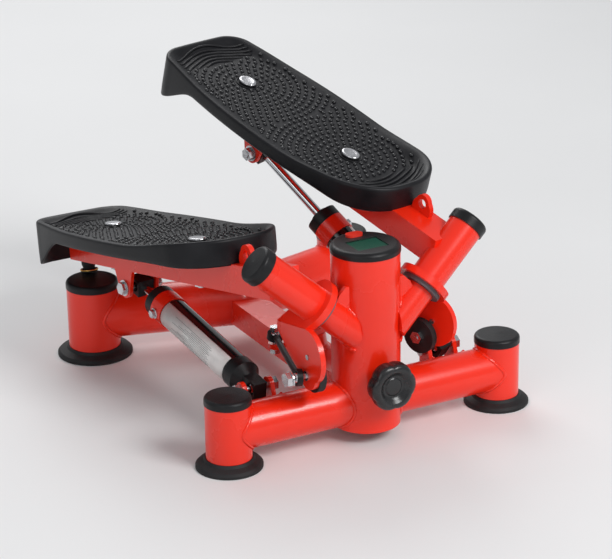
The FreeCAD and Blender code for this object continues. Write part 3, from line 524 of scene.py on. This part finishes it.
BUMPER_AT = (-0.148, -0.006, -0.0588)
BUMPER_R, BUMPER_BULGE, BUMPER_TALL = 0.0102, 0.0009, 0.0012
BUMPER_SIDES, BUMPER_AROUND = 10, 64


def bumper_ring():
    """A rounded brass band round the rubber stop under the heel."""
    verts, faces = [], []
    for k in range(BUMPER_AROUND):
        turn = math.tau * k / BUMPER_AROUND
        for n in range(BUMPER_SIDES):
            bulge = math.tau * n / BUMPER_SIDES
            r = BUMPER_R + BUMPER_BULGE * math.cos(bulge)
            verts.append((BUMPER_AT[0] + r * math.cos(turn), BUMPER_AT[1] + r * math.sin(turn),
                          BUMPER_AT[2] + BUMPER_TALL * math.sin(bulge)))
    add_skin(faces, 0, BUMPER_AROUND, BUMPER_SIDES, closed=True)
    return verts, faces


on_arms(bumper_ring(), "bumper_ring", BRASS)
on_arms(tread_shell(), "tread_shell", LOOKS["tread_black"], replaced="tread")
on_arms(tread_studs(), "tread_studs", STUD_GLOSS)
on_arms(tread_ribs(), "tread_ribs", LOOKS["tread_black"])
on_arms(bolt_collars(), "bolt_collars", LOOKS["tread_black"])
on_arms(bolt_caps(), "bolt_caps", LOOKS["bolt_steel"])

# ---- knob ----

KNOB_R = 0.0262
KNOB_SIDES = 144
LOBE_DEPTH, LOBE_SHARPNESS = 0.045, 0.7
# share of the radius, distance ahead of the post's axis, how strongly the six lobes show
KNOB_PROFILE = ((0.20, 0.0472, 0), (0.66, 0.0472, 0.2), (0.90, 0.0478, 0.8), (0.97, 0.0495, 1),
                (1.0, 0.0530, 1), (1.0, 0.0590, 1), (0.985, 0.0618, 1), (0.94, 0.0641, 0.8),
                (0.87, 0.0653, 0.4), (0.82, 0.0657, 0.1), (0.77, 0.0659, 0), (0.72, 0.0656, 0),
                (0.67, 0.0647, 0), (0.58, 0.0626, 0), (0.49, 0.0606, 0), (0.43, 0.0600, 0),
                (0.39, 0.0601, 0), (0.37, 0.0609, 0), (0.33, 0.0612, 0), (0.12, 0.0613, 0))


def knob_body():
    """A six-lobed knob with a dished face, turned about the CAD knob's axis."""
    verts, faces = [], []
    low, high = (Vector(corner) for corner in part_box("adjuster_knob"))
    middle = (low + high) / 2
    for share, ahead, lobed in KNOB_PROFILE:
        for k in range(KNOB_SIDES):
            turn = math.tau * k / KNOB_SIDES
            lobe = abs(math.cos(3 * turn)) ** LOBE_SHARPNESS * 2 - 1
            r = KNOB_R * share * (1 + lobed * LOBE_DEPTH * lobe)
            verts.append((middle.x + r * math.cos(turn), -ahead, middle.z + r * math.sin(turn)))
    add_skin(faces, 0, len(KNOB_PROFILE), KNOB_SIDES)
    add_cap(faces, 0, KNOB_SIDES, flipped=True)
    add_cap(faces, (len(KNOB_PROFILE) - 1) * KNOB_SIDES, KNOB_SIDES)
    return verts, faces


knob = link_mesh("knob_body", *knob_body(), KNOB_GLOSS)
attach(knob, "knob")
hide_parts("adjuster_knob")

# ---- damper labels and bleed screws ----

# the lug's ball and the rod's eye, at rest
DAMPER_AT = Vector((-0.1165, 0.040, 0.065))
DAMPER_TIP = Vector((-0.140037, 0.284042, 0.107983))
TILT = JOINTS["damper_tilt_left"]["range_deg"][1]
RIGHT_DAMPER = joint_turn("damper_tilt_right", -TILT) @ MIRROR


def damper_frame(towards):
    """Z up the damper, X square to it towards the given side."""
    axis = (DAMPER_TIP - DAMPER_AT).normalized()
    outward = (towards - axis * towards.dot(axis)).normalized()
    return placement(outward, axis.cross(outward), axis, DAMPER_AT)


def wrapped(low, high, start, stop, radius, thick, count=48):
    """A thin plate bent round the damper, between two heights and two angles in degrees."""
    verts, faces = [], []
    for k in range(count + 1):
        turn = math.radians(start + (stop - start) * k / count)
        for r in (radius, radius + thick):
            for t in (low, high):
                verts.append((r * math.cos(turn), r * math.sin(turn), t))
    for k in range(count):
        a, b = 4 * k, 4 * k + 4
        for i, j in ((0, 1), (1, 3), (3, 2), (2, 0)):
            faces.append((a + i, a + j, b + j, b + i))
    last = 4 * count
    faces += [(0, 2, 3, 1), (last, last + 1, last + 3, last + 2)]
    return verts, faces


def join(parts):
    verts, faces = [], []
    for more_verts, more_faces in parts:
        first = len(verts)
        verts.extend(more_verts)
        faces.extend(tuple(i + first for i in face) for face in more_faces)
    return verts, faces


LABEL_LOW, LABEL_HIGH = 0.0405, 0.1745
LABEL_FROM, LABEL_TO = -110, 68
LABEL_R, LABEL_THICK = 0.01805, 0.0002
RULE_R, RULE_THICK, RULE_WIDE_DEG = LABEL_R + LABEL_THICK, 0.0001, 1.2
RULES_LOW, RULES_HIGH, RULES_AT = 0.070, 0.150, range(-52, 50, 6)
# the rules start and end at uneven heights
RULES = [wrapped(RULES_LOW + 0.003 * (n % 3), RULES_HIGH - 0.012 * (n * 5 % 4), at, at + RULE_WIDE_DEG,
                 RULE_R, RULE_THICK, 2) for n, at in enumerate(RULES_AT)]
SCREW_SEAT, SCREW_UP, SCREW_SIDES = 0.0192, 0.1855, 48
# height over the seat, radius, whether the ring is a hexagon
SCREW_PROFILE = ((-0.0008, 0.0062, False), (0.0014, 0.0062, False), (0.0017, 0.0059, False),
                 (0.0018, 0.0044, True), (0.0054, 0.0044, True), (0.0060, 0.0041, False),
                 (0.0062, 0.0022, False))


def bleed_screw():
    """A washer and a hexagon head that face along X of the damper's frame."""
    verts, faces = [], []
    for height, radius, hexagon in SCREW_PROFILE:
        for k in range(SCREW_SIDES):
            turn = math.tau * k / SCREW_SIDES
            r = radius / math.cos((turn + math.pi / 6) % (math.pi / 3) - math.pi / 6) if hexagon else radius
            verts.append((SCREW_SEAT + height, r * math.cos(turn), SCREW_UP + r * math.sin(turn)))
    add_skin(faces, 0, len(SCREW_PROFILE), SCREW_SIDES)
    add_cap(faces, 0, SCREW_SIDES, flipped=True)
    add_cap(faces, (len(SCREW_PROFILE) - 1) * SCREW_SIDES, SCREW_SIDES)
    return verts, faces


LABEL_SIDE = damper_frame(Vector((-1, 0, 0)))
# the screw looks along the lug bolt as it stands half way through the tilt
HALF_TILT = Matrix.Rotation(math.radians(-TILT / 2), 3, Vector(JOINTS["damper_tilt_left"]["axis"]))
SCREW_SIDE = damper_frame(HALF_TILT @ Vector((-1, 0, 0)))
# name, shape, frame, material, smooth shading, slot
DAMPER_PIECES = (
    ("label", wrapped(LABEL_LOW, LABEL_HIGH, LABEL_FROM, LABEL_TO, LABEL_R, LABEL_THICK), LABEL_SIDE, LABEL,
     True, "bolt_steel"),
    ("label_rules", join(RULES), LABEL_SIDE, LABEL_LINE, True, "black_plastic"),
    ("bleed_screw", bleed_screw(), SCREW_SIDE, LOOKS["bolt_steel"], False, "bolt_steel"))
for side in SIDES:
    for stem, (verts, faces), place, material, smooth, slot in DAMPER_PIECES:
        matrix = place if side == "left" else RIGHT_DAMPER @ place
        obj = link_mesh(f"{stem}_{side}", [matrix @ Vector(v) for v in verts], faces, material, smooth)
        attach(obj, f"damper_{side}")

# ---- weld beads ----

WELD_R, WELD_SIDES = 0.0021, 8
RIPPLE, RIPPLE_STEP = 0.10, 1.9
SEAM_POINTS = 120


def bead(name, points, radius=WELD_R, closed=True):
    """A rippled weld fillet along a seam of the base."""
    verts, faces = [], []
    count = len(points)
    side = None
    for i, p in enumerate(points):
        after = points[(i + 1) % count] if closed or i < count - 1 else points[i]
        before = points[i - 1] if closed or i > 0 else points[i]
        along = (after - before).normalized()
        if side is None:
            side = along.orthogonal().normalized()
        else:
            side = (side - along * side.dot(along)).normalized()
        other = along.cross(side)
        r = radius * (1 + RIPPLE * math.sin(i * RIPPLE_STEP))
        for k in range(WELD_SIDES):
            turn = math.tau * k / WELD_SIDES
            verts.append(p + side * r * math.cos(turn) + other * r * math.sin(turn))
    add_skin(faces, 0, count, WELD_SIDES, closed)
    if not closed:
        add_cap(faces, 0, WELD_SIDES)
        add_cap(faces, (count - 1) * WELD_SIDES, WELD_SIDES, flipped=True)
    obj = link_mesh(name, verts, faces, LOOKS["frame_red"])
    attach(obj, "base")


def tube_on_tube(post_at, post_r, start, direction, tube_r):
    """Points where a tube runs into an upright post."""
    d = direction.normalized()
    side = Vector((0, 0, 1)).cross(d).normalized()
    up = d.cross(side)
    flat = Vector((d.x, d.y))
    points = []
    for k in range(SEAM_POINTS):
        turn = math.tau * k / SEAM_POINTS
        p = start + side * tube_r * math.cos(turn) + up * tube_r * math.sin(turn)
        rel = Vector((p.x - post_at[0], p.y - post_at[1]))
        a, b, c = flat.dot(flat), 2 * rel.dot(flat), rel.dot(rel) - post_r ** 2
        root = b * b - 4 * a * c
        if root >= 0:
            points.append(p + d * ((-b - math.sqrt(root)) / (2 * a)))
    return points


FRONT_Z, REAR_Z = 0.0425, 0.049
TRACK, BASE_Y, APEX_Y = 0.170, 0.363, 0.315
POST_R, FRONT_BAR_R, REAR_FOOT_R, REAR_BAR_R = 0.0381, 0.0254, 0.031, 0.0297
# a little inside the front foot's own radius, so that its seam goes all the way round
FRONT_FOOT_R, FOOT_SEAM_R = 0.0254, 0.0249
FRONT_START, REAR_START = 0.1, 0.05
for side, sign in zip(SIDES, (-1, 1)):
    inward = Vector((-sign, 0, 0))
    start = Vector((sign * FRONT_START, 0, FRONT_Z))
    foot, rear_foot = (sign * TRACK, 0), (sign * TRACK, BASE_Y)
    bead(f"weld_front_post_{side}", tube_on_tube((0, 0), POST_R, start, inward, FRONT_BAR_R))
    bead(f"weld_front_foot_{side}", tube_on_tube(foot, FRONT_FOOT_R, start, -inward, FOOT_SEAM_R))
    outward = Vector((sign * TRACK, BASE_Y - APEX_Y, 0)).normalized()
    start = Vector((0, APEX_Y, REAR_Z)) + outward * REAR_START
    bead(f"weld_rear_foot_{side}", tube_on_tube(rear_foot, REAR_FOOT_R, start, outward, REAR_BAR_R))

PIVOT_AT = Vector((-0.0703, -0.0104, 0.1719))
# the joint's axis points down
PIVOT_UP = -Vector(JOINTS["step_left"]["axis"])
BOSS_POST_R, BOSS_R, BOSS_SHOWN = 0.0384, 0.0175, -0.027
LUG_WELDS = (("outer", 0.1362), ("inner", 0.0968))
LUG_WELD_R, LUG_BEAD_R = 0.0260, 0.0019
LUG_WELD_FROM, LUG_WELD_SWEEP, LUG_WELD_POINTS = -42, 92, 24


def boss_seam():
    """The seam of the left boss outside the post, from one end to the other."""
    seam = [p for p in tube_on_tube((0, 0), BOSS_POST_R, PIVOT_AT, -PIVOT_UP, BOSS_R) if p.x < BOSS_SHOWN]
    gaps = [(seam[i - 1] - seam[i]).length for i in range(len(seam))]
    cut = gaps.index(max(gaps))
    return seam[cut:] + seam[:cut]


BOSS_SEAM = boss_seam()
for side, sign in zip(SIDES, (1, -1)):
    bead(f"weld_boss_{side}", [Vector((p.x * sign, p.y, p.z)) for p in BOSS_SEAM], closed=False)
    for tag, across in LUG_WELDS:
        run = []
        for k in range(LUG_WELD_POINTS):
            turn = math.radians(LUG_WELD_FROM + LUG_WELD_SWEEP * k / (LUG_WELD_POINTS - 1))
            run.append(Vector((-sign * across, LUG_WELD_R * math.cos(turn),
                               FRONT_Z + LUG_WELD_R * math.sin(turn))))
        bead(f"weld_lug_{tag}_{side}", run, radius=LUG_BEAD_R, closed=False)

# ---- floor, light ----

FLOOR_SIZE = 14
SKY_COLOR, SKY_STRENGTH = (0.95, 0.97, 1.0, 1), 0.42
LIT_POINT = Vector((0, 0.15, 0.12))
# name, place, size, power
LAMPS = (("key", (0.9, -2.3, 2.3), 1.2, 66), ("fill", (-2.2, -1.2, 1.4), 1.6, 9),
         ("rim", (0.4, 2.4, 2.0), 1.8, 30))


def make_stage():
    bpy.ops.mesh.primitive_plane_add(size=FLOOR_SIZE, location=(0, 0, 0))
    floor = bpy.context.object
    floor.name = "floor"
    floor.data.materials.append(finish("floor_pale", (0.80, 0.80, 0.80), 0.6, mottle=(2, 0.01),
                                       grain=(20, 0.01)))
    world = bpy.data.worlds.new("studio")
    world.use_nodes = True
    sky = world.node_tree.nodes["Background"]
    sky.inputs["Color"].default_value = SKY_COLOR
    sky.inputs["Strength"].default_value = SKY_STRENGTH
    bpy.context.scene.world = world
    for name, place, size, power in LAMPS:
        data = bpy.data.lights.new(name, "AREA")
        data.size = size
        data.energy = power
        lamp = bpy.data.objects.new(name, data)
        lamp.location = place
        lamp.rotation_euler = (LIT_POINT - Vector(place)).to_track_quat("-Z", "Y").to_euler()
        bpy.context.scene.collection.objects.link(lamp)


make_stage()
bpy.context.scene.view_settings.view_transform = "Standard"
